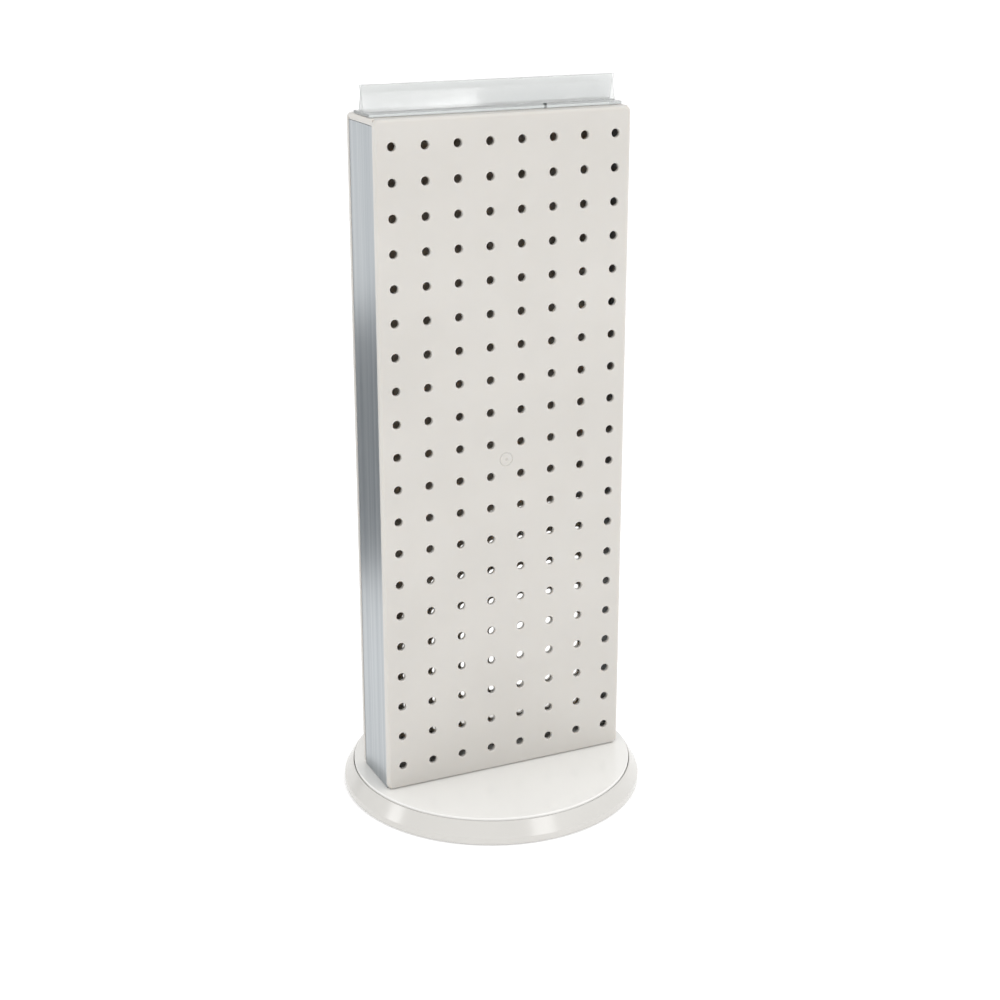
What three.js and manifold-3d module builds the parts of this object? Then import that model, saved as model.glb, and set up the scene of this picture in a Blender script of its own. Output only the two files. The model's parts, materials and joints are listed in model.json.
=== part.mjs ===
// Two-sided pegboard counter display that turns on a low round base.
// Millimetres, +Z up. The origin is on the table under the centre of the base, and the front panel faces -Y.
import * as THREE from 'three';
import { mergeGeometries, mergeVertices } from 'three/addons/utils/BufferGeometryUtils.js';
import Module from 'manifold-3d';

const wasm = await Module();
wasm.setup();

// ---- Driving dimensions ----
const GAP = 0.3; // clearance between pieces that touch

const PITCH = 25.4; // hole spacing both ways
const COLUMNS = 8;
const ROWS = 20;
const HOLE_D = 6.35;
const HOLE_SIDES = 8;

const PANEL_W = COLUMNS * PITCH;
const PANEL_H = (ROWS + 0.5) * PITCH;
const PANEL_DEPTH = 5; // face and return flange together
const FACE_T = 3;
const FLANGE_T = 2.5;
const CORNER_R = 4;
const EDGE_R = 2.2;
const BODY_D = 2.25 * PITCH; // outside to outside over both panels

const CHANNEL_T = 1.5;
const CHANNEL_INSET = 0.4; // web set back from the panels' sides
const CHANNEL_LEG_CLEAR = 0.45; // legs to the inside of the panel faces

const CAP_EDGE_T = 4.5; // visible edge of the top cap
const CAP_SKIN = 2.4;
const CAP_SKIRT = 12; // reach of the skirt below the cap's edge
const CAP_WALL = 2;
const INSERT_HALF_W = 96.5; // half width of what fits between the channels
const INSERT_HALF_D = BODY_D / 2 - PANEL_DEPTH - 2 * GAP; // half depth of the same, clear of the flanges

const BASE_R = 120.5;
const PLATE_R = 112.5;
const PLATE_CLEAR = 0.4; // running gap round the turntable plate
const FOOT_PROUD = 0.8;
const RIM_TOP = 6.1;
const BEVEL_TOP = 18.7;
const PLATE_TOP = 19.3;
const BASE_WALL = 2.4;
const PLATE_EDGE_R = 0.8;
const EDGE_STEPS = 2; // facets round the plate's edge
const PLATE_SKIRT_Z = 12.2;
const BEVEL_WALL = 3.2; // measured upright
const RIM_LEDGE = 1; // inside of the bevel starts this far below the rim's top
const BASE_CHAMFER = 0.5;
const HUB_R = 48;

const FOOT_R = 8;
const FOOT_PCR = 98;
const FOOT_SINK = 1.2;
const FOOT_CHAMFER = 0.6;

const BEARING_R = 45;
const BEARING_BORE_R = 20;
const BEARING_T = 1;
const BALL_R = 2.38;
const BALL_COUNT = 12;
const BALL_PCR = 38;
const LIP_CLEAR = 1; // between the balls and a race's lip
const LIP_PAST = 1; // a lip's edge beyond the balls' centres
const CAGE_HALF_W = 1.8;
const CAGE_HALF_T = 0.4;
const BEARING_SCREW_PCR = 26;
const ACCESS_R = 4.5; // hole for driving the upper bearing screws

const BRACKET_H = 14; // stays below the lowest row of holes
const BRACKET_FLOOR = 3;
const BRACKET_WALL = 2.4;
const BOSS_R = 4.5;
const BOSS_H = 8;
const BRACKET_SCREWS = [[52, 10], [-52, 10], [-52, -10], [52, -10]];

const HOLDER_LENGTH = 200.6;
const HOLDER_HALF_D = 15.5;
const HOLDER_STRIP_T = 2.2;
const LEAF_T = 1;
const LEAF_FOOT = 3.55; // half the gap between the leaves where they leave the strip
const PINCH = { half: 0.25, from: 15.2, to: 16 }; // half gap, and the heights it runs between
const FLARE = { half: 1.75, outer: 21, inner: 21.2 }; // half gap, and the heights of the tips' two edges
const RIVET_PLACE = [1.5 * PITCH, -13.2];
const RIVET_SHANK_R = 0.9;
const RIVET_HEAD = { radius: 1.6, height: 0.9 };
const RIVET_TAIL = { radius: 1.6, tip: 0.6, height: 2, straight: 0.6 };

// Screws: shank and head radius, head height, and length under the head.
const SCREW_LARGE = { shank: 1.75, head: 3.5, headH: 2, length: 11.5 };
const SCREW_MEDIUM = { shank: 1.4, head: 3, headH: 1.8, length: 5.8 };
const SCREW_SMALL = { shank: 1.4, head: 3, headH: 1.8, length: 3.6 };

// Facets round a full turn.
const SIDES = { disc: 48, bearing: 24, foot: 12, fastener: 6 };

// ---- Levels up the stack ----
const FLOOR_TOP = FOOT_PROUD + BASE_WALL;
const LOWER_RACE_Z = FLOOR_TOP + GAP;
const BALL_Z = LOWER_RACE_Z + BEARING_T + GAP + BALL_R;
const UPPER_RACE_Z = BALL_Z + BALL_R + GAP;
const HUB_Z = UPPER_RACE_Z + BEARING_T + GAP;
const BODY_Z0 = PLATE_TOP + GAP;
const BODY_Z1 = BODY_Z0 + PANEL_H;
const HOLDER_Z = BODY_Z1 + GAP;

const UP = new THREE.Vector3(0, 0, 1);

const materials = {
  panel: { color: 0xdedbd6, roughness: 0.42, metalness: 0 },
  aluminium: { color: 0xb4bdc3, roughness: 0.32, metalness: 1 },
  clear: { color: 0xdfe9e9, roughness: 0.08, metalness: 0 },
  base: { color: 0xe6e4e0, roughness: 0.3, metalness: 0 },
  steel: { color: 0xb7b7b3, roughness: 0.35, metalness: 1 },
  rubber: { color: 0x2b2b2b, roughness: 0.85, metalness: 0 },
  rivet: { color: 0x3c4243, roughness: 0.5, metalness: 0 },
};

// ---- Making solids ----

/** A closed three.js geometry as a manifold solid whose faces point out. */
function solid(geometry) {
  geometry.deleteAttribute('normal');
  geometry.deleteAttribute('uv');
  const merged = mergeVertices(geometry, 1e-4);
  const index = merged.index.array;
  const corner = (i) => new THREE.Vector3().fromBufferAttribute(merged.attributes.position, i);
  const triangles = [];
  let volume = 0;
  for (let i = 0; i < index.length; i += 3) {
    const [a, b, c] = index.slice(i, i + 3);
    if (a === b || b === c || c === a) continue;
    triangles.push([a, b, c]);
    volume += corner(a).dot(corner(b).cross(corner(c)));
  }
  const outward = volume < 0 ? triangles.map(([a, b, c]) => [a, c, b]) : triangles;
  return new wasm.Manifold(new wasm.Mesh({
    numProp: 3,
    vertProperties: Float32Array.from(merged.attributes.position.array),
    triVerts: Uint32Array.from(outward.flat()),
  }));
}

function geometryOf(manifold) {
  const mesh = manifold.getMesh();
  const geometry = new THREE.BufferGeometry();
  geometry.setAttribute('position', new THREE.BufferAttribute(mesh.vertProperties, 3));
  geometry.setIndex(new THREE.BufferAttribute(mesh.triVerts, 1));
  geometry.computeVertexNormals();
  return geometry;
}

/** A box from its lowest to its highest corner. */
function box(low, high) {
  const size = high.map((value, i) => value - low[i]);
  const centre = high.map((value, i) => (value + low[i]) / 2);
  return solid(new THREE.BoxGeometry(...size).translate(...centre));
}

/** An upright cylinder between two heights. */
function post(radius, z0, z1, x = 0, y = 0, sides = SIDES.fastener) {
  const geometry = new THREE.CylinderGeometry(radius, radius, z1 - z0, sides);
  return solid(geometry.rotateX(Math.PI / 2).translate(x, y, (z0 + z1) / 2));
}

/** A profile of [radius, height] points turned about the Z axis. */
function turned(profile, sides) {
  const points = profile.map(([r, z]) => new THREE.Vector2(r, z));
  return solid(new THREE.LatheGeometry(points, sides).rotateX(Math.PI / 2));
}

function ringProfile(r0, r1, z0, z1) {
  return [[r0, z0], [r1, z0], [r1, z1], [r0, z1], [r0, z0]];
}

function onCircle(radius, count, start = 0) {
  const angles = Array.from({ length: count }, (_, i) => start + (2 * Math.PI * i) / count);
  return angles.map((angle) => [radius * Math.cos(angle), radius * Math.sin(angle)]);
}

function roundedRectangle(width, height, radius) {
  const [x, y] = [width / 2, height / 2];
  const shape = new THREE.Shape();
  shape.absarc(x - radius, y - radius, radius, 0, Math.PI / 2);
  shape.absarc(radius - x, y - radius, radius, Math.PI / 2, Math.PI);
  shape.absarc(radius - x, radius - y, radius, Math.PI, 1.5 * Math.PI);
  shape.absarc(x - radius, radius - y, radius, 1.5 * Math.PI, 2 * Math.PI);
  return shape;
}

const display = new THREE.Group();

/** Adds a named piece to the model and returns its mesh. */
function piece(name, look, manifold) {
  const mesh = new THREE.Mesh(geometryOf(manifold), new THREE.MeshStandardMaterial(materials[look]));
  mesh.name = name;
  display.add(mesh);
  return mesh;
}

// ---- Pegboard body ----

function holeCentres() {
  const centres = [];
  for (let row = 0; row < ROWS; row++) {
    for (let column = 0; column < COLUMNS; column++) {
      centres.push([(column - (COLUMNS - 1) / 2) * PITCH, (row - (ROWS - 1) / 2) * PITCH]);
    }
  }
  return centres;
}

/** A shallow pan with a flange all round and the whole grid of holes, open side towards +Y. */
function pegboardPanel() {
  const outline = roundedRectangle(PANEL_W, PANEL_H, CORNER_R);
  const blank = new THREE.ExtrudeGeometry(outline, {
    depth: PANEL_DEPTH,
    bevelThickness: EDGE_R,
    bevelSize: EDGE_R,
    bevelOffset: -EDGE_R,
    bevelSegments: 2,
    curveSegments: 4,
  });
  const front = -BODY_D / 2;
  const back = front + PANEL_DEPTH;
  const middle = (BODY_Z0 + BODY_Z1) / 2;
  // The blank is rounded at both ends, so its rear is cut off square at the flange's edge.
  const shell = solid(blank.rotateX(Math.PI / 2).translate(0, back + EDGE_R, middle))
    .subtract(box([-PANEL_W, back, 0], [PANEL_W, back + PANEL_DEPTH, 2 * PANEL_H]));
  const pocket = box(
    [-PANEL_W / 2 + FLANGE_T, front + FACE_T, BODY_Z0 + FLANGE_T],
    [PANEL_W / 2 - FLANGE_T, back + 1, BODY_Z1 - FLANGE_T],
  );
  const drills = holeCentres().map(([x, z]) => new THREE.CylinderGeometry(
    HOLE_D / 2, HOLE_D / 2, 2 * PANEL_DEPTH, HOLE_SIDES,
  ).translate(x, front, middle + z));
  return shell.subtract(pocket).subtract(solid(mergeGeometries(drills)));
}

/** One side of the extruded channel's section, from its mid-plane out to the leg. */
function channelSection() {
  const outer = -PANEL_W / 2 + CHANNEL_INSET;
  const shoulder = BODY_D / 2 - PANEL_DEPTH - GAP;
  const leg = -PANEL_W / 2 + FLANGE_T + GAP;
  const reach = BODY_D / 2 - FACE_T - CHANNEL_LEG_CLEAR;
  return [
    [outer, shoulder],
    [leg, shoulder],
    [leg, reach],
    [leg + CHANNEL_T, reach],
    [leg + CHANNEL_T, shoulder - CHANNEL_T],
    [outer + CHANNEL_T, shoulder - CHANNEL_T],
  ];
}

function sideChannel() {
  const half = channelSection();
  const mirrored = half.map(([x, y]) => [x, -y]).reverse();
  const section = new THREE.Shape([...half, ...mirrored].map(([x, y]) => new THREE.Vector2(x, y)));
  const depth = BODY_Z1 - CAP_EDGE_T - GAP - BODY_Z0;
  const bar = new THREE.ExtrudeGeometry(section, { depth, bevelEnabled: false }).translate(0, 0, BODY_Z0);
  // The legs stop above the panels' bottom flanges.
  const shoulder = BODY_D / 2 - PANEL_DEPTH - GAP;
  const legFoot = BODY_Z0 + FLANGE_T + GAP;
  const frontNotch = box([-PANEL_W, -BODY_D, 0], [0, -shoulder, legFoot]);
  const backNotch = box([-PANEL_W, shoulder, 0], [0, BODY_D, legFoot]);
  return solid(bar).subtract(frontNotch).subtract(backNotch);
}

function topCap() {
  const edgeZ = BODY_Z1 - CAP_EDGE_T;
  const halfW = PANEL_W / 2 - GAP;
  const halfD = BODY_D / 2 - PANEL_DEPTH - GAP;
  const lid = box([-halfW, -halfD, edgeZ], [halfW, halfD, BODY_Z1]);
  const skirt = box(
    [-INSERT_HALF_W, -INSERT_HALF_D, edgeZ - CAP_SKIRT],
    [INSERT_HALF_W, INSERT_HALF_D, BODY_Z1 - CAP_SKIN],
  );
  const hollow = box(
    [-INSERT_HALF_W + CAP_WALL, -INSERT_HALF_D + CAP_WALL, edgeZ - CAP_SKIRT - 1],
    [INSERT_HALF_W - CAP_WALL, INSERT_HALF_D - CAP_WALL, BODY_Z1 - CAP_SKIN],
  );
  return drillRivetHole(lid.add(skirt).subtract(hollow));
}

// ---- Sign holder ----

/** Half of the profile as [across, up]: the strip's edge, then up a leaf's outside and down its inside. */
const HOLDER_HALF = [
  [HOLDER_HALF_D, 0],
  [HOLDER_HALF_D, HOLDER_STRIP_T],
  [LEAF_FOOT + LEAF_T, HOLDER_STRIP_T],
  [PINCH.half + LEAF_T, PINCH.from],
  [PINCH.half + LEAF_T, PINCH.to],
  [FLARE.half + LEAF_T, FLARE.outer],
  [FLARE.half, FLARE.inner],
  [PINCH.half, PINCH.to],
  [PINCH.half, PINCH.from],
  [LEAF_FOOT, HOLDER_STRIP_T],
];

function signHolder() {
  const mirrored = HOLDER_HALF.map(([y, z]) => [-y, z]).reverse();
  const section = new THREE.Shape([...HOLDER_HALF, ...mirrored].map(([y, z]) => new THREE.Vector2(y, z)));
  const bar = new THREE.ExtrudeGeometry(section, { depth: HOLDER_LENGTH, bevelEnabled: false });
  bar.rotateX(Math.PI / 2).rotateZ(Math.PI / 2).translate(-HOLDER_LENGTH / 2, 0, HOLDER_Z);
  return drillRivetHole(solid(bar));
}

function drillRivetHole(part) {
  return part.subtract(post(RIVET_SHANK_R + GAP, BODY_Z0, HOLDER_Z + 2 * HOLDER_STRIP_T, ...RIVET_PLACE));
}

/** A push rivet: domed head above the strip, shank through strip and cap, spread end below the cap. */
function holderRivet() {
  const seat = HOLDER_Z + HOLDER_STRIP_T + GAP;
  const below = BODY_Z1 - CAP_SKIN - GAP;
  return turned([
    [0, below - RIVET_TAIL.height],
    [RIVET_TAIL.tip, below - RIVET_TAIL.height],
    [RIVET_TAIL.radius, below - RIVET_TAIL.straight],
    [RIVET_TAIL.radius, below],
    [RIVET_SHANK_R, below],
    [RIVET_SHANK_R, seat],
    [RIVET_HEAD.radius, seat],
    [RIVET_HEAD.radius * 0.75, seat + RIVET_HEAD.height * 0.75],
    [0, seat + RIVET_HEAD.height],
  ], SIDES.fastener);
}

// ---- Mounting bracket inside the foot of the body ----

/** A shallow pan that plugs the foot of the body and is screwed to the turntable plate from below. */
function mountingBracket() {
  const floor = BODY_Z0;
  const inside = floor + BRACKET_FLOOR;
  const top = floor + BRACKET_H;
  const block = box([-INSERT_HALF_W, -INSERT_HALF_D, floor], [INSERT_HALF_W, INSERT_HALF_D, top]);
  const pocket = box(
    [-INSERT_HALF_W + BRACKET_WALL, -INSERT_HALF_D + BRACKET_WALL, inside],
    [INSERT_HALF_W - BRACKET_WALL, INSERT_HALF_D - BRACKET_WALL, top + 1],
  );
  return BRACKET_SCREWS.reduce(
    (bracket, [x, y]) => bracket.add(post(BOSS_R, floor, inside + BOSS_H, x, y))
      .subtract(post(SCREW_LARGE.shank + GAP, floor - 1, inside + BOSS_H - 1, x, y)),
    block.subtract(pocket),
  );
}

// ---- Screws ----

/** A pan-head screw with the underside of its head at the origin and its shank pointing up. */
function screw({ shank, head, headH, length }) {
  const tip = shank * 0.5;
  return turned([
    [0, -headH], [head * 0.7, -headH], [head, -headH * 0.55], [head, 0], [shank, 0],
    [shank, length - tip], [shank - tip, length], [0, length],
  ], SIDES.fastener);
}

function screwRing(name, size, places, z, pointsUp) {
  places.forEach(([x, y], i) => {
    const mesh = piece(`${name}_${i + 1}`, 'steel', screw(size));
    mesh.position.set(x, y, z);
    mesh.rotation.x = pointsUp ? 0 : Math.PI;
  });
}

// ---- Turntable and base ----

const LOWER_SCREWS = onCircle(BEARING_SCREW_PCR, 4);
const UPPER_SCREWS = onCircle(BEARING_SCREW_PCR, 4, Math.PI / 4);
const ACCESS = onCircle(BEARING_SCREW_PCR, 1, Math.PI / 8)[0];
const FEET = onCircle(FOOT_PCR, 4, Math.PI / 4);

function turntablePlate() {
  const skin = PLATE_TOP - BASE_WALL;
  const edge = Array.from({ length: EDGE_STEPS + 1 }, (_, i) => {
    const angle = (i / EDGE_STEPS) * (Math.PI / 2);
    return [
      PLATE_R - PLATE_EDGE_R + PLATE_EDGE_R * Math.cos(angle),
      PLATE_TOP - PLATE_EDGE_R + PLATE_EDGE_R * Math.sin(angle),
    ];
  });
  const disc = turned([
    [0, HUB_Z], [HUB_R, HUB_Z], [HUB_R, skin], [PLATE_R - BASE_WALL, skin],
    [PLATE_R - BASE_WALL, PLATE_SKIRT_Z], [PLATE_R, PLATE_SKIRT_Z], ...edge, [0, PLATE_TOP],
  ], SIDES.disc);
  const drilled = BRACKET_SCREWS.reduce(
    (plate, [x, y]) => plate.subtract(post(SCREW_LARGE.shank + GAP, 0, 2 * PLATE_TOP, x, y)),
    disc,
  );
  return UPPER_SCREWS.reduce(
    (plate, [x, y]) => plate.subtract(post(SCREW_MEDIUM.shank + GAP, 0, PLATE_TOP - 1, x, y)),
    drilled,
  );
}

/** The fixed tray: a floor, a short upright rim and a bevel that rises to the turntable plate. */
function baseTray() {
  const mouth = PLATE_R + PLATE_CLEAR;
  const tray = turned([
    [0, FOOT_PROUD],
    [BASE_R - BASE_CHAMFER, FOOT_PROUD],
    [BASE_R, FOOT_PROUD + BASE_CHAMFER],
    [BASE_R, RIM_TOP],
    [mouth, BEVEL_TOP],
    [mouth, BEVEL_TOP - BEVEL_WALL],
    [BASE_R - BASE_WALL, RIM_TOP - RIM_LEDGE],
    [BASE_R - BASE_WALL, FLOOR_TOP],
    [0, FLOOR_TOP],
  ], SIDES.disc);
  const cuts = [
    ...LOWER_SCREWS.map(([x, y]) => post(SCREW_SMALL.shank + GAP, 0, RIM_TOP, x, y)),
    ...FEET.map(([x, y]) => post(FOOT_R + GAP, 0, FOOT_PROUD + FOOT_SINK, x, y, SIDES.foot)),
    post(ACCESS_R, 0, RIM_TOP, ...ACCESS, SIDES.foot),
  ];
  return cuts.reduce((part, cut) => part.subtract(cut), tray);
}

function rubberFoot() {
  const top = FOOT_PROUD + FOOT_SINK - GAP;
  return turned([
    [0, 0], [FOOT_R - FOOT_CHAMFER, 0], [FOOT_R, FOOT_CHAMFER], [FOOT_R, top], [0, top],
  ], SIDES.foot);
}

// ---- Ball bearing ----

/** Pressed steel disc with an upturned lip outside the balls. */
function lowerRace() {
  const lip = BALL_PCR + BALL_R + LIP_CLEAR;
  const top = LOWER_RACE_Z + BEARING_T;
  const disc = turned(ringProfile(BEARING_BORE_R, BEARING_R, LOWER_RACE_Z, top), SIDES.bearing);
  const wall = turned(ringProfile(lip, lip + BEARING_T, LOWER_RACE_Z, BALL_Z + LIP_PAST), SIDES.bearing);
  const cuts = LOWER_SCREWS.map(([x, y]) => post(SCREW_SMALL.shank + GAP, 0, RIM_TOP, x, y));
  return [...cuts, post(ACCESS_R, 0, RIM_TOP, ...ACCESS, SIDES.foot)]
    .reduce((part, cut) => part.subtract(cut), disc.add(wall));
}

/** Pressed steel disc with a downturned lip inside the balls. */
function upperRace() {
  const lip = BALL_PCR - BALL_R - LIP_CLEAR;
  const top = UPPER_RACE_Z + BEARING_T;
  const disc = turned(ringProfile(BEARING_BORE_R, BEARING_R, UPPER_RACE_Z, top), SIDES.bearing);
  const wall = turned(ringProfile(lip - BEARING_T, lip, BALL_Z - LIP_PAST, top), SIDES.bearing);
  return UPPER_SCREWS.reduce(
    (part, [x, y]) => part.subtract(post(SCREW_MEDIUM.shank + GAP, UPPER_RACE_Z - 1, HUB_Z + 1, x, y)),
    disc.add(wall),
  );
}

/** The cage that spaces the balls, with the balls captive in it. */
function ballCage() {
  const cage = turned(ringProfile(
    BALL_PCR - CAGE_HALF_W, BALL_PCR + CAGE_HALF_W, BALL_Z - CAGE_HALF_T, BALL_Z + CAGE_HALF_T,
  ), SIDES.bearing);
  return onCircle(BALL_PCR, BALL_COUNT).reduce(
    (part, [x, y]) => part.add(solid(new THREE.SphereGeometry(BALL_R, 6, 4).translate(x, y, BALL_Z))),
    cage,
  );
}

// ---- Assembly ----

piece('front_panel', 'panel', pegboardPanel());
piece('back_panel', 'panel', pegboardPanel()).setRotationFromAxisAngle(UP, Math.PI);
piece('left_channel', 'aluminium', sideChannel());
piece('right_channel', 'aluminium', sideChannel()).setRotationFromAxisAngle(UP, Math.PI);
piece('top_cap', 'panel', topCap());
piece('sign_holder', 'clear', signHolder());
piece('sign_holder_rivet', 'rivet', holderRivet()).position.set(...RIVET_PLACE, 0);
piece('mounting_bracket', 'base', mountingBracket());
piece('turntable_plate', 'base', turntablePlate());
piece('base_tray', 'base', baseTray());
piece('bearing_lower_race', 'steel', lowerRace());
piece('bearing_upper_race', 'steel', upperRace());
piece('bearing_ball_cage', 'steel', ballCage());
screwRing('bracket_screw', SCREW_LARGE, BRACKET_SCREWS, PLATE_TOP - BASE_WALL - GAP, true);
screwRing('upper_bearing_screw', SCREW_MEDIUM, UPPER_SCREWS, UPPER_RACE_Z - GAP, true);
screwRing('lower_bearing_screw', SCREW_SMALL, LOWER_SCREWS, LOWER_RACE_Z + BEARING_T + GAP, false);
FEET.forEach(([x, y], i) => {
  piece(`rubber_foot_${i + 1}`, 'rubber', rubberFoot()).position.set(x, y, 0);
});

export default display;
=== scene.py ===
"""Looks for the revolving pegboard display stand: fine meshes, materials, studio light and camera."""
import json
import math

import bmesh
import bpy
from mathutils import Matrix, Vector

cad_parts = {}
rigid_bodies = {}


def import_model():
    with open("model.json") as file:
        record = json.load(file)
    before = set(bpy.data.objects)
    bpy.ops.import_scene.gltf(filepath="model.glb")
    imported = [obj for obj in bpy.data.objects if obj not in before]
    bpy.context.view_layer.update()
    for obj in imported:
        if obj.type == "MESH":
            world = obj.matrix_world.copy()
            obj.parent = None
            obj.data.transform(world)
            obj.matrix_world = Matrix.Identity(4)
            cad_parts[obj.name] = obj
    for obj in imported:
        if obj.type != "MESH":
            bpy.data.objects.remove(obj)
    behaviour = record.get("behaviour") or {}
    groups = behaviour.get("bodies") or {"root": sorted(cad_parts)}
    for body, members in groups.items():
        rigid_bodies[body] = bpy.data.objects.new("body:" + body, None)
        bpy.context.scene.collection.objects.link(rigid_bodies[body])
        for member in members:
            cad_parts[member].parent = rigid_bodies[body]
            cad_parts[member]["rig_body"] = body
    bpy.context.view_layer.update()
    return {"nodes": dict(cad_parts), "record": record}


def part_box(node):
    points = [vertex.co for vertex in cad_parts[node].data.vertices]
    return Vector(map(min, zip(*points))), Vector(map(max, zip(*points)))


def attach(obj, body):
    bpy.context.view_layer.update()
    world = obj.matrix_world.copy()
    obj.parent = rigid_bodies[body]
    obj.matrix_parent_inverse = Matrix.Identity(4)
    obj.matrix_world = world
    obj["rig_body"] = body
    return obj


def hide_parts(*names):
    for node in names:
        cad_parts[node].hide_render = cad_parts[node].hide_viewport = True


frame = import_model()

MM = 0.001

# ---- Shape details that are finer than the frame, in metres ----
GAP = 0.3 * MM  # clearance round a rivet or a foot
PAST = 1 * MM  # how far a cutter runs past the surface it opens

PITCH = 25.4 * MM
COLUMNS = 8
ROWS = 20
HOLE_R = 3.175 * MM
HOLE_LIP_R = 1.0 * MM

FACE_T = 3 * MM
FLANGE_T = 2.5 * MM
CORNER_R = 4 * MM
EDGE_R = 2.2 * MM

GATE_RING_R = 5.2 * MM
GATE_RING_W = 0.8 * MM
GATE_DOT_R = 1.4 * MM
GATE_DEPTH = 0.6 * MM

CHANNEL_EDGE_R = 0.3 * MM
CAP_EDGE_R = 0.5 * MM
BRACKET_EDGE_R = 0.4 * MM

RIVET_SHANK_R = 0.9 * MM
RIVET_HEAD_H = 0.9 * MM
RIVET_TAIL_H = 2 * MM
RIVET_TAPER = 0.7  # of the tail's height up to its full width, and of the shank's radius at its tip

HOLDER_STRIP_T = 2.2 * MM
HOLDER_EDGE_R = 0.3 * MM
LEAF_FOOT = (3.55 * MM, 4.6 * MM)  # inside and outside of a leaf where it leaves the strip
LEAF_FOOT_R = 0.5 * MM
LEAF_PINCH = (0.25 * MM, 1.25 * MM)  # inside and outside where the two leaves run closest
LEAF_PINCH_R = 0.4 * MM
LEAF_FLARE = (1.75 * MM, 2.7 * MM)  # inside and outside at the top
LEAF_FLARE_R = 0.12 * MM
PINCH_UP = (15.2 * MM, 16 * MM)  # heights that the closest stretch runs between
FLARE_UP = (21 * MM, 21.2 * MM)  # heights of the outside and inside corners at the top

BASE_WALL = 2.4 * MM
BASE_RIM_H = 5.3 * MM
BEVEL_EXTRA = 0.8 * MM  # how much thicker than the walls the bevel is, measured upright
RIM_LEDGE = 1 * MM  # inside of the bevel starts this far below the rim's top
TRAY_FOOT_R = 0.7 * MM
TRAY_RIM_R = 0.9 * MM
TRAY_MOUTH_R = 0.5 * MM
PLATE_CLEAR = 0.4 * MM
PLATE_EDGE_R = 0.8 * MM
PLATE_SKIRT_H = 1.04 * MM  # from the underside of the hub up to the foot of the plate's edge
PLATE_SKIRT_R = 0.3 * MM
HUB_R = 48 * MM
SCREW_HOLE_R = 1.7 * MM
BRACKET_HOLE_R = 2.05 * MM
ACCESS_R = 4.5 * MM
ACCESS_PCR = 26 * MM
ACCESS_ANGLE = math.pi / 8
FOOT_EDGE_R = 0.6 * MM
FOOT_TOP_R = 0.15 * MM

# ---- Facets round a full turn, and steps along a rounded stretch ----
HOLE_SIDES = 28
GATE_SIDES = 48
DRILL_SIDES = 24
ACCESS_SIDES = 32
RIVET_SIDES = 32
FOOT_SIDES = 48
BASE_SIDES = 192
LIP_STEPS = 4
EDGE_STEPS = 6
CORNER_STEPS = 10
FILLET_STEPS = 4
TRAY_STEPS = 6
PLATE_STEPS = 8
DOME_STEPS = 8
BEVEL_STEPS = 3

NUMBERS = range(1, 5)  # the feet and each kind of screw are numbered 1 to 4

# ---- Angles between faces ----
FLAT_ANGLE = math.radians(1)  # faces this close to one plane are joined
SMOOTH_ANGLE = math.radians(32)  # edges up to this are shaded smooth
SHARP_ANGLE = math.radians(50)  # edges past this are rounded

# ---- Camera ----
CAMERA_AZIMUTH = math.radians(-24.72)
CAMERA_ELEVATION = math.radians(18.99)
CAMERA_DISTANCE = 1.3985
CAMERA_AIM_Z = 0.28
CAMERA_OFFSET = (0.0071, -0.0395)  # of the aim point, right and up in the picture
CAMERA_LENS = 64.8  # millimetres, as is the sensor's width
CAMERA_SENSOR = 36

# ---- Grey card, in metres: place beside the left channel, half width, and the heights it runs between ----
CARD_PLACE = (-0.16, 0.43)
CARD_HALF_W = 0.15
CARD_LOW = 0.015
CARD_HIGH = 0.29
CARD_COLOR = (0.22, 0.23, 0.24, 1)

# ---- Floor, size in metres ----
FLOOR_HALF = 20
FLOOR_COLOR = (0.93, 0.93, 0.93, 1)
FLOOR_GLOW = 0.18

WHITE = (1, 1, 1, 1)
MATT = 0.9  # roughness of the studio's own surfaces

slot_of = {part["node"]: part["material_slot"] for part in frame["record"]["subparts"]}


# ---- Mesh helpers ----

def loft(bm, rings):
    """A closed solid through rings of equal count, with a flat cap on the first and the last."""
    loops = [[bm.verts.new(point) for point in ring] for ring in rings]
    count = len(loops[0])
    for near, far in zip(loops, loops[1:]):
        for i in range(count):
            j = (i + 1) % count
            bm.faces.new((near[i], near[j], far[j], far[i]))
    bm.faces.new(loops[0])
    bm.faces.new(loops[-1])


def arc(centre, radius, start, end, steps):
    """Points along a round stretch, both ends included."""
    angles = [start + (end - start) * i / steps for i in range(steps + 1)]
    return [(centre[0] + radius * math.cos(a), centre[1] + radius * math.sin(a)) for a in angles]


def filleted(corners, steps=FILLET_STEPS):
    """The closed outline through (x, y, radius) corners, each rounded by its radius."""
    outline = []
    for i, (x, y, radius) in enumerate(corners):
        here = Vector((x, y))
        if radius == 0:
            outline.append((x, y))
            continue
        before = (Vector(corners[i - 1][:2]) - here).normalized()
        after = (Vector(corners[(i + 1) % len(corners)][:2]) - here).normalized()
        half = before.angle(after) / 2
        centre = here + (before + after).normalized() * (radius / math.sin(half))
        first = here + before * (radius / math.tan(half)) - centre
        turn = first.angle_signed(here + after * (radius / math.tan(half)) - centre)
        for k in range(steps + 1):
            spoke = Matrix.Rotation(-turn * k / steps, 2) @ first
            outline.append(tuple(centre + spoke))
    return outline


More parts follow.
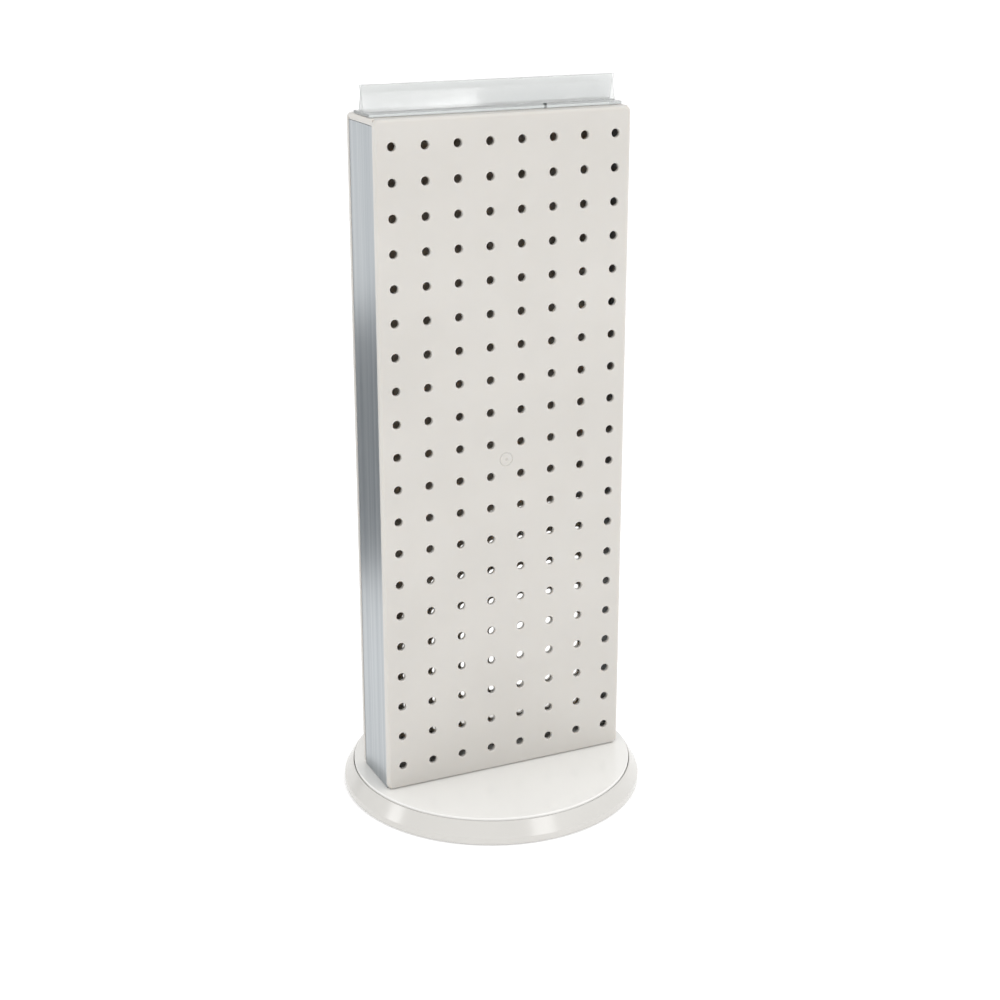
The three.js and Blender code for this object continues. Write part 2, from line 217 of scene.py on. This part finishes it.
def lathe(bm, profile, sides, centre=(0, 0)):
    """Turns a (radius, height) profile, which starts and ends on the axis, about an upright line."""
    rings = []
    for radius, height in profile:
        if radius == 0:
            rings.append([bm.verts.new((centre[0], centre[1], height))])
            continue
        around = [2 * math.pi * i / sides for i in range(sides)]
        rings.append([
            bm.verts.new((centre[0] + radius * math.cos(a), centre[1] + radius * math.sin(a), height))
            for a in around
        ])
    for near, far in zip(rings, rings[1:]):
        for i in range(sides):
            j = (i + 1) % sides
            if len(near) == 1:
                bm.faces.new((near[0], far[i], far[j]))
            elif len(far) == 1:
                bm.faces.new((near[i], near[j], far[0]))
            else:
                bm.faces.new((near[i], near[j], far[j], far[i]))


def to_object(bm, name):
    bmesh.ops.recalc_face_normals(bm, faces=bm.faces)
    mesh = bpy.data.meshes.new(name)
    bm.to_mesh(mesh)
    bm.free()
    made = bpy.data.objects.new(name, mesh)
    bpy.context.scene.collection.objects.link(made)
    return made


def cut(piece, cutter):
    """Takes the cutter's volume out of the piece."""
    modifier = piece.modifiers.new("cut", "BOOLEAN")
    modifier.object = cutter
    modifier.solver = "MANIFOLD"
    evaluated = piece.evaluated_get(bpy.context.evaluated_depsgraph_get())
    mesh = bpy.data.meshes.new_from_object(evaluated)
    piece.modifiers.clear()
    piece.data = mesh
    bpy.data.objects.remove(cutter)


def dress(piece, node):
    """Gives a finished piece its shading, finish and body, and lets it stand for its CAD node."""
    piece.data.shade_smooth()
    piece.data.set_sharp_from_angle(angle=SMOOTH_ANGLE)
    weighted = piece.modifiers.new("even_normals", "WEIGHTED_NORMAL")
    weighted.keep_sharp = True
    piece.data.materials.clear()
    piece.data.materials.append(finishes[slot_of[node]])
    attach(piece, frame["nodes"][node]["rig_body"])
    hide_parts(node)


def centre_of(node):
    low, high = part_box(node)
    return (low + high) / 2


def drill(bm, radius, z0, z1, centre, sides=DRILL_SIDES):
    """A round upright cutter between two heights."""
    lathe(bm, [(0, z0), (radius, z0), (radius, z1), (0, z1)], sides, centre)


# ---- Materials: colours are linear, noise scales in cells per metre, relief depths in metres ----

TINT_FROM = 0.3  # noise below this gets the dark colour
TINT_TO = 0.7  # noise above this gets the light one


def new_material(name):
    material = bpy.data.materials.new(name)
    material.use_nodes = True
    return material, material.node_tree.nodes, material.node_tree.links


def noise(nodes, links, scale, detail=3.0, stretch=(1, 1, 1)):
    """Noise fixed to the object, scale in cells per metre."""
    place = nodes.new("ShaderNodeTexCoord")
    mapping = nodes.new("ShaderNodeMapping")
    mapping.inputs["Scale"].default_value = stretch
    texture = nodes.new("ShaderNodeTexNoise")
    texture.inputs["Scale"].default_value = scale
    texture.inputs["Detail"].default_value = detail
    links.new(place.outputs["Object"], mapping.inputs["Vector"])
    links.new(mapping.outputs["Vector"], texture.inputs["Vector"])
    return texture.outputs["Fac"]


def tint(nodes, links, factor, dark, light):
    """A colour between two, by the factor."""
    ramp = nodes.new("ShaderNodeValToRGB")
    ramp.color_ramp.elements[0].position = TINT_FROM
    ramp.color_ramp.elements[0].color = (*dark, 1)
    ramp.color_ramp.elements[1].position = TINT_TO
    ramp.color_ramp.elements[1].color = (*light, 1)
    links.new(factor, ramp.inputs["Fac"])
    return ramp.outputs["Color"]


def spread(nodes, links, factor, low, high):
    """A number between two, by the factor."""
    span = nodes.new("ShaderNodeMapRange")
    span.inputs["To Min"].default_value = low
    span.inputs["To Max"].default_value = high
    links.new(factor, span.inputs["Value"])
    return span.outputs["Result"]


def relief(nodes, links, factor, distance, strength):
    """A surface normal that follows the factor as height."""
    bump = nodes.new("ShaderNodeBump")
    bump.inputs["Distance"].default_value = distance
    bump.inputs["Strength"].default_value = strength
    links.new(factor, bump.inputs["Height"])
    return bump.outputs["Normal"]


def moulded_plastic(name, dark, light, rough, grain, glow=0):
    """Plastic with a slow drift of tint, uneven gloss and the mould's grain.

    rough is the range of roughness, grain the relief's distance and strength, and glow the share of
    light that seeps through.
    """
    material, nodes, links = new_material(name)
    shader = nodes["Principled BSDF"]
    links.new(tint(nodes, links, noise(nodes, links, scale=14), dark, light), shader.inputs["Base Color"])
    links.new(spread(nodes, links, noise(nodes, links, scale=60), *rough), shader.inputs["Roughness"])
    surface = noise(nodes, links, scale=1400, detail=2)
    links.new(relief(nodes, links, surface, *grain), shader.inputs["Normal"])
    shader.inputs["IOR"].default_value = 1.5
    shader.inputs["Subsurface Weight"].default_value = glow
    shader.inputs["Subsurface Radius"].default_value = (1, 0.9, 0.78)
    shader.inputs["Subsurface Scale"].default_value = 4 * MM
    return material


def drawn_aluminium(name):
    """Satin extrusion with die lines along its length, in two widths."""
    material, nodes, links = new_material(name)
    shader = nodes["Principled BSDF"]
    wide = noise(nodes, links, scale=420, detail=2, stretch=(1, 1, 0.006))
    fine = noise(nodes, links, scale=1900, detail=3, stretch=(1, 1, 0.012))
    links.new(
        tint(nodes, links, wide, dark=(0.37, 0.40, 0.425), light=(0.49, 0.515, 0.53)),
        shader.inputs["Base Color"],
    )
    links.new(spread(nodes, links, fine, low=0.24, high=0.44), shader.inputs["Roughness"])
    links.new(relief(nodes, links, fine, distance=0.00004, strength=0.35), shader.inputs["Normal"])
    shader.inputs["Metallic"].default_value = 1
    return material


def clear_plastic(name):
    """Clear extrusion, a little hazy, whose blue-green tint deepens with thickness."""
    material, nodes, links = new_material(name)
    shader = nodes["Principled BSDF"]
    along = noise(nodes, links, scale=120, detail=2, stretch=(0.05, 1, 1))
    links.new(
        tint(nodes, links, along, dark=(0.905, 0.915, 0.913), light=(0.925, 0.934, 0.932)),
        shader.inputs["Base Color"],
    )
    links.new(spread(nodes, links, along, low=0.02, high=0.07), shader.inputs["Roughness"])
    shader.inputs["Transmission Weight"].default_value = 0.82
    shader.inputs["IOR"].default_value = 1.49
    depth = nodes.new("ShaderNodeVolumeAbsorption")
    depth.inputs["Color"].default_value = (0.58, 0.68, 0.68, 1)
    depth.inputs["Density"].default_value = 12
    links.new(depth.outputs["Volume"], nodes["Material Output"].inputs["Volume"])
    return material


def plated_steel(name, dark, light):
    material, nodes, links = new_material(name)
    shader = nodes["Principled BSDF"]
    mottle = noise(nodes, links, scale=500)
    links.new(tint(nodes, links, mottle, dark, light), shader.inputs["Base Color"])
    links.new(spread(nodes, links, mottle, low=0.28, high=0.48), shader.inputs["Roughness"])
    shader.inputs["Metallic"].default_value = 1
    return material


finishes = {
    "panel_plastic": moulded_plastic(
        "panel_plastic", dark=(0.560, 0.541, 0.510), light=(0.588, 0.569, 0.538),
        rough=(0.38, 0.50), grain=(0.00005, 0.25), glow=0.5,
    ),
    "base_plastic": moulded_plastic(
        "base_plastic", dark=(0.785, 0.778, 0.755), light=(0.817, 0.810, 0.787),
        rough=(0.12, 0.20), grain=(0.00003, 0.08),
    ),
    # The tray is the same plastic as the plate, given a darker colour here as painted shade on its bevel
    # and rim.
    "tray_plastic": moulded_plastic(
        "tray_plastic", dark=(0.580, 0.567, 0.540), light=(0.612, 0.599, 0.572),
        rough=(0.13, 0.22), grain=(0.00003, 0.08),
    ),
    "channel_aluminium": drawn_aluminium("channel_aluminium"),
    "clear_plastic": clear_plastic("clear_plastic"),
    "rivet_nylon": moulded_plastic(
        "rivet_nylon", dark=(0.045, 0.055, 0.058), light=(0.075, 0.085, 0.088),
        rough=(0.42, 0.58), grain=(0.00003, 0.2),
    ),
    "bearing_steel": plated_steel("bearing_steel", dark=(0.48, 0.48, 0.45), light=(0.66, 0.66, 0.63)),
    "screw_steel": plated_steel("screw_steel", dark=(0.44, 0.44, 0.41), light=(0.62, 0.62, 0.59)),
    "foot_rubber": moulded_plastic(
        "foot_rubber", dark=(0.022, 0.022, 0.022), light=(0.042, 0.042, 0.042),
        rough=(0.74, 0.9), grain=(0.0001, 0.4),
    ),
}


# ---- Pegboard panels ----

def panel_ring(width, height, inset):
    """A rounded rectangle in the panel's plane, as (across, up) from its middle."""
    radius = CORNER_R - inset
    across = width / 2 - inset - radius
    up = height / 2 - inset - radius
    centres = [(across, up), (-across, up), (-across, -up), (across, -up)]
    points = []
    for quarter, centre in enumerate(centres):
        start = quarter * math.pi / 2
        points += arc(centre, radius, start, start + math.pi / 2, CORNER_STEPS)
    return points


def hole_cutter(bm, across, up):
    """A round drill along the panel's depth whose mouth flares into the rounded lip."""
    flare = arc((HOLE_R + HOLE_LIP_R, HOLE_LIP_R), HOLE_LIP_R, -math.pi / 2, -math.pi, LIP_STEPS)
    profile = [(HOLE_R + HOLE_LIP_R, -PAST), *flare, (HOLE_R, FACE_T + PAST)]
    angles = [2 * math.pi * i / HOLE_SIDES for i in range(HOLE_SIDES)]
    loft(bm, [
        [(across + r * math.cos(a), depth, up + r * math.sin(a)) for a in angles]
        for r, depth in profile
    ])


def gate_mark_cutter(bm):
    """The ring and dimple where the plastic entered the mould, at the middle of the face."""
    angles = [2 * math.pi * i / GATE_SIDES for i in range(GATE_SIDES)]
    groove = [
        (GATE_RING_W, -PAST), (GATE_RING_W, 0), (0, GATE_DEPTH),
        (-GATE_RING_W, 0), (-GATE_RING_W, -PAST),
    ]
    loops = [
        [bm.verts.new(((GATE_RING_R + out) * math.cos(a), depth, (GATE_RING_R + out) * math.sin(a)))
         for a in angles]
        for out, depth in groove
    ]
    for near, far in zip(loops, loops[1:] + loops[:1]):
        for i in range(GATE_SIDES):
            j = (i + 1) % GATE_SIDES
            bm.faces.new((near[i], near[j], far[j], far[i]))
    loft(bm, [
        [(r * math.cos(a), depth, r * math.sin(a)) for a in angles]
        for r, depth in [(GATE_DOT_R, -PAST), (GATE_DOT_R, 0), (GATE_DOT_R / 2, GATE_DEPTH)]
    ])


def pegboard(name, node, turned_round):
    low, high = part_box(node)
    width, thick, height = high - low
    rounding = arc((EDGE_R, EDGE_R), EDGE_R, -math.pi / 2, -math.pi, EDGE_STEPS)
    steps = [*rounding, (0, thick), (FLANGE_T, thick), (FLANGE_T, FACE_T)]
    shell = bmesh.new()
    loft(shell, [
        [(across, depth, up) for across, up in panel_ring(width, height, inset)]
        for inset, depth in steps
    ])
    piece = to_object(shell, name)
    drills = bmesh.new()
    for column in range(COLUMNS):
        for row in range(ROWS):
            hole_cutter(drills, (column - (COLUMNS - 1) / 2) * PITCH, (row - (ROWS - 1) / 2) * PITCH)
    gate_mark_cutter(drills)
    cut(piece, to_object(drills, name + "_drills"))
    face = high.y if turned_round else low.y
    turn = Matrix.Rotation(math.pi if turned_round else 0, 4, "Z")
    piece.data.transform(Matrix.Translation((0, face, (low.z + high.z) / 2)) @ turn)
    dress(piece, node)


# ---- Pieces that keep their frame shape, with worked edges ----

def edge_rounded(name, node, radius):
    """The CAD node's own shape with its sharp edges rounded."""
    bm = bmesh.new()
    bm.from_mesh(frame["nodes"][node].data)
    bmesh.ops.remove_doubles(bm, verts=bm.verts, dist=1e-6)
    bmesh.ops.dissolve_limit(bm, angle_limit=FLAT_ANGLE, verts=bm.verts, edges=bm.edges)
    sharp = [e for e in bm.edges if e.is_manifold and e.calc_face_angle() > SHARP_ANGLE]
    bmesh.ops.bevel(
        bm, geom=sharp, offset=radius, segments=BEVEL_STEPS, profile=0.5, affect="EDGES",
        clamp_overlap=True,
    )
    dress(to_object(bm, name), node)


# ---- Sign holder ----

def sign_holder():
    low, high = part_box("sign_holder")
    # Half of the section as (across, up, corner radius): strip, outside of the leaf, its flare, its inside.
    half = [
        (high.y, 0, HOLDER_EDGE_R),
        (high.y, HOLDER_STRIP_T, HOLDER_EDGE_R),
        (LEAF_FOOT[1], HOLDER_STRIP_T, LEAF_FOOT_R),
        (LEAF_PINCH[1], PINCH_UP[0], LEAF_PINCH_R),
        (LEAF_PINCH[1], PINCH_UP[1], LEAF_PINCH_R),
        (LEAF_FLARE[1], FLARE_UP[0], LEAF_FLARE_R),
        (LEAF_FLARE[0], FLARE_UP[1], LEAF_FLARE_R),
        (LEAF_PINCH[0], PINCH_UP[1], HOLDER_EDGE_R),
        (LEAF_PINCH[0], PINCH_UP[0], HOLDER_EDGE_R),
        (LEAF_FOOT[0], HOLDER_STRIP_T, HOLDER_EDGE_R),
    ]
    section = filleted(half + [(-y, z, r) for y, z, r in reversed(half)])
    bm = bmesh.new()
    loft(bm, [[(x, y, low.z + z) for y, z in section] for x in (low.x, high.x)])
    piece = to_object(bm, "clear_sign_holder")
    drills = bmesh.new()
    middle = centre_of("sign_holder_rivet")
    drill(drills, RIVET_SHANK_R + GAP, low.z - PAST, low.z + 2 * HOLDER_STRIP_T, middle.xy)
    cut(piece, to_object(drills, "holder_drills"))
    dress(piece, "sign_holder")


def push_rivet():
    low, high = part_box("sign_holder_rivet")
    radius = (high.y - low.y) / 2
    seat = high.z - RIVET_HEAD_H
    tail_top = low.z + RIVET_TAIL_H
    dome = arc((0, 0), 1, 0, math.pi / 2, DOME_STEPS)[:-1]
    profile = [
        (0, low.z), (RIVET_SHANK_R * RIVET_TAPER, low.z),
        (radius, low.z + RIVET_TAIL_H * RIVET_TAPER), (radius, tail_top),
        (RIVET_SHANK_R, tail_top), (RIVET_SHANK_R, seat),
        *((radius * across, seat + RIVET_HEAD_H * up) for across, up in dome),
        (0, high.z),
    ]
    bm = bmesh.new()
    lathe(bm, profile, RIVET_SIDES, centre_of("sign_holder_rivet").xy)
    dress(to_object(bm, "push_rivet"), "sign_holder_rivet")


# ---- Base ----

def turntable_plate():
    low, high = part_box("turntable_plate")
    radius, top = high.x, high.z
    skin = top - BASE_WALL
    skirt = low.z + PLATE_SKIRT_H
    outline = filleted([
        (HUB_R, low.z, 0), (HUB_R, skin, 0), (radius - BASE_WALL, skin, 0),
        (radius - BASE_WALL, skirt, 0), (radius, skirt, PLATE_SKIRT_R), (radius, top, PLATE_EDGE_R),
        (0, top, 0), (0, low.z, 0),
    ], PLATE_STEPS)
    bm = bmesh.new()
    lathe(bm, [(0, low.z), *outline[:-1]], BASE_SIDES)
    piece = to_object(bm, "revolving_plate")
    drills = bmesh.new()
    for i in NUMBERS:
        drill(drills, BRACKET_HOLE_R, low.z - PAST, top + PAST, centre_of(f"bracket_screw_{i}").xy)
        drill(drills, SCREW_HOLE_R, low.z - PAST, top - PAST, centre_of(f"upper_bearing_screw_{i}").xy)
    cut(piece, to_object(drills, "plate_drills"))
    dress(piece, "turntable_plate")


def base_tray():
    low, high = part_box("base_tray")
    radius = high.x
    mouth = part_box("turntable_plate")[1].x + PLATE_CLEAR
    floor_top = low.z + BASE_WALL
    rim_top = low.z + BASE_RIM_H
    outline = filleted([
        (radius, low.z, TRAY_FOOT_R), (radius, rim_top, TRAY_RIM_R), (mouth, high.z, TRAY_MOUTH_R),
        (mouth, high.z - BASE_WALL - BEVEL_EXTRA, 0), (radius - BASE_WALL, rim_top - RIM_LEDGE, 0),
        (radius - BASE_WALL, floor_top, 0), (0, floor_top, 0), (0, low.z, 0),
    ], TRAY_STEPS)
    bm = bmesh.new()
    lathe(bm, [(0, low.z), *outline[:-1]], BASE_SIDES)
    piece = to_object(bm, "bevelled_base")
    drills = bmesh.new()
    for i in NUMBERS:
        foot_low, foot_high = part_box(f"rubber_foot_{i}")
        pocket_r = (foot_high.x - foot_low.x) / 2 + GAP
        foot = centre_of(f"rubber_foot_{i}").xy
        drill(drills, pocket_r, low.z - PAST, foot_high.z + GAP, foot, FOOT_SIDES)
        drill(drills, SCREW_HOLE_R, low.z - PAST, rim_top, centre_of(f"lower_bearing_screw_{i}").xy)
    access = (ACCESS_PCR * math.cos(ACCESS_ANGLE), ACCESS_PCR * math.sin(ACCESS_ANGLE))
    drill(drills, ACCESS_R, low.z - PAST, rim_top, access, ACCESS_SIDES)
    cut(piece, to_object(drills, "tray_drills"))
    dress(piece, "base_tray")


def rubber_foot(i):
    node = f"rubber_foot_{i}"
    low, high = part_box(node)
    radius = (high.x - low.x) / 2
    outline = filleted([
        (radius, low.z, FOOT_EDGE_R), (radius, high.z, FOOT_TOP_R), (0, high.z, 0), (0, low.z, 0),
    ])
    bm = bmesh.new()
    lathe(bm, [(0, low.z), *outline[:-1]], FOOT_SIDES, centre_of(node).xy)
    dress(to_object(bm, f"foot_pad_{i}"), node)


# ---- The object ----

pegboard("front_pegboard", "front_panel", False)
pegboard("back_pegboard", "back_panel", True)
edge_rounded("left_side_extrusion", "left_channel", CHANNEL_EDGE_R)
edge_rounded("right_side_extrusion", "right_channel", CHANNEL_EDGE_R)
edge_rounded("moulded_top_cap", "top_cap", CAP_EDGE_R)
edge_rounded("moulded_bracket", "mounting_bracket", BRACKET_EDGE_R)
sign_holder()
push_rivet()
turntable_plate()
base_tray()
for number in NUMBERS:
    rubber_foot(number)

for node, part in frame["nodes"].items():
    if not part.hide_render:
        part.data.materials.clear()
        part.data.materials.append(finishes[slot_of[node]])


# ---- Studio ----

def floor():
    corners = [(-1, -1), (1, -1), (1, 1), (-1, 1)]
    bm = bmesh.new()
    bm.faces.new([bm.verts.new((x * FLOOR_HALF, y * FLOOR_HALF, 0)) for x, y in corners])
    made = to_object(bm, "studio_floor")
    material, nodes, _ = new_material("studio_floor")
    shader = nodes["Principled BSDF"]
    shader.inputs["Base Color"].default_value = FLOOR_COLOR
    shader.inputs["Roughness"].default_value = MATT
    shader.inputs["Emission Color"].default_value = WHITE
    shader.inputs["Emission Strength"].default_value = FLOOR_GLOW
    made.data.materials.append(material)


def grey_card():
    """A low grey card behind and to the left, seen only in gloss: it lies as a dark band in the channel."""
    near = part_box("left_channel")[0].x
    middle = Vector((near + CARD_PLACE[0], CARD_PLACE[1], 0))
    along = Vector((CARD_PLACE[1], -CARD_PLACE[0], 0)).normalized() * CARD_HALF_W
    near_end, far_end = middle - along, middle + along
    corners = [(near_end, CARD_LOW), (far_end, CARD_LOW), (far_end, CARD_HIGH), (near_end, CARD_HIGH)]
    bm = bmesh.new()
    bm.faces.new([bm.verts.new((end.x, end.y, z)) for end, z in corners])
    made = to_object(bm, "studio_grey_card")
    material, nodes, _ = new_material("studio_grey_card")
    nodes["Principled BSDF"].inputs["Base Color"].default_value = CARD_COLOR
    nodes["Principled BSDF"].inputs["Roughness"].default_value = MATT
    made.data.materials.append(material)
    made.visible_camera = False
    made.visible_diffuse = False
    made.visible_shadow = False
    made.visible_transmission = False


def softbox(name, direction, distance, width, height, power):
    """A rectangular light that faces the stand's axis at the camera's aim height, in metres and watts."""
    data = bpy.data.lights.new(name, "AREA")
    data.shape = "RECTANGLE"
    data.size = width
    data.size_y = height
    data.energy = power
    light = bpy.data.objects.new(name, data)
    aim = Vector((0, 0, CAMERA_AIM_Z))
    way = Vector(direction).normalized()
    light.location = aim + way * distance
    light.rotation_mode = "QUATERNION"
    light.rotation_quaternion = way.to_track_quat("Z", "Y")
    bpy.context.scene.collection.objects.link(light)


def camera():
    data = bpy.data.cameras.new("camera")
    data.lens = CAMERA_LENS
    data.sensor_width = CAMERA_SENSOR
    made = bpy.data.objects.new("camera", data)
    back = Vector((
        math.sin(CAMERA_AZIMUTH) * math.cos(CAMERA_ELEVATION),
        -math.cos(CAMERA_AZIMUTH) * math.cos(CAMERA_ELEVATION),
        math.sin(CAMERA_ELEVATION),
    ))
    right = Vector((math.cos(CAMERA_AZIMUTH), math.sin(CAMERA_AZIMUTH), 0))
    up = back.cross(right)
    aim = Vector((0, 0, CAMERA_AIM_Z)) + right * CAMERA_OFFSET[0] + up * CAMERA_OFFSET[1]
    made.location = aim + back * CAMERA_DISTANCE
    made.rotation_mode = "QUATERNION"
    made.rotation_quaternion = back.to_track_quat("Z", "Y")
    bpy.context.scene.collection.objects.link(made)
    bpy.context.scene.camera = made


def surroundings():
    world = bpy.data.worlds.new("studio")
    bpy.context.scene.world = world
    world.use_nodes = True
    background = world.node_tree.nodes["Background"]
    background.inputs["Color"].default_value = WHITE
    background.inputs["Strength"].default_value = 1
    bpy.context.scene.view_settings.view_transform = "Standard"


floor()
grey_card()
surroundings()
softbox("softbox_right", direction=(0.256, -0.901, 0.351), distance=1.9, width=0.55, height=0.5, power=4)
softbox("softbox_left", direction=(-0.961, 0.191, 0.20), distance=1.9, width=0.35, height=0.5, power=3)
softbox("softbox_top", direction=(0.25, -0.35, 0.90), distance=2.0, width=1.3, height=0.6, power=6)
camera()
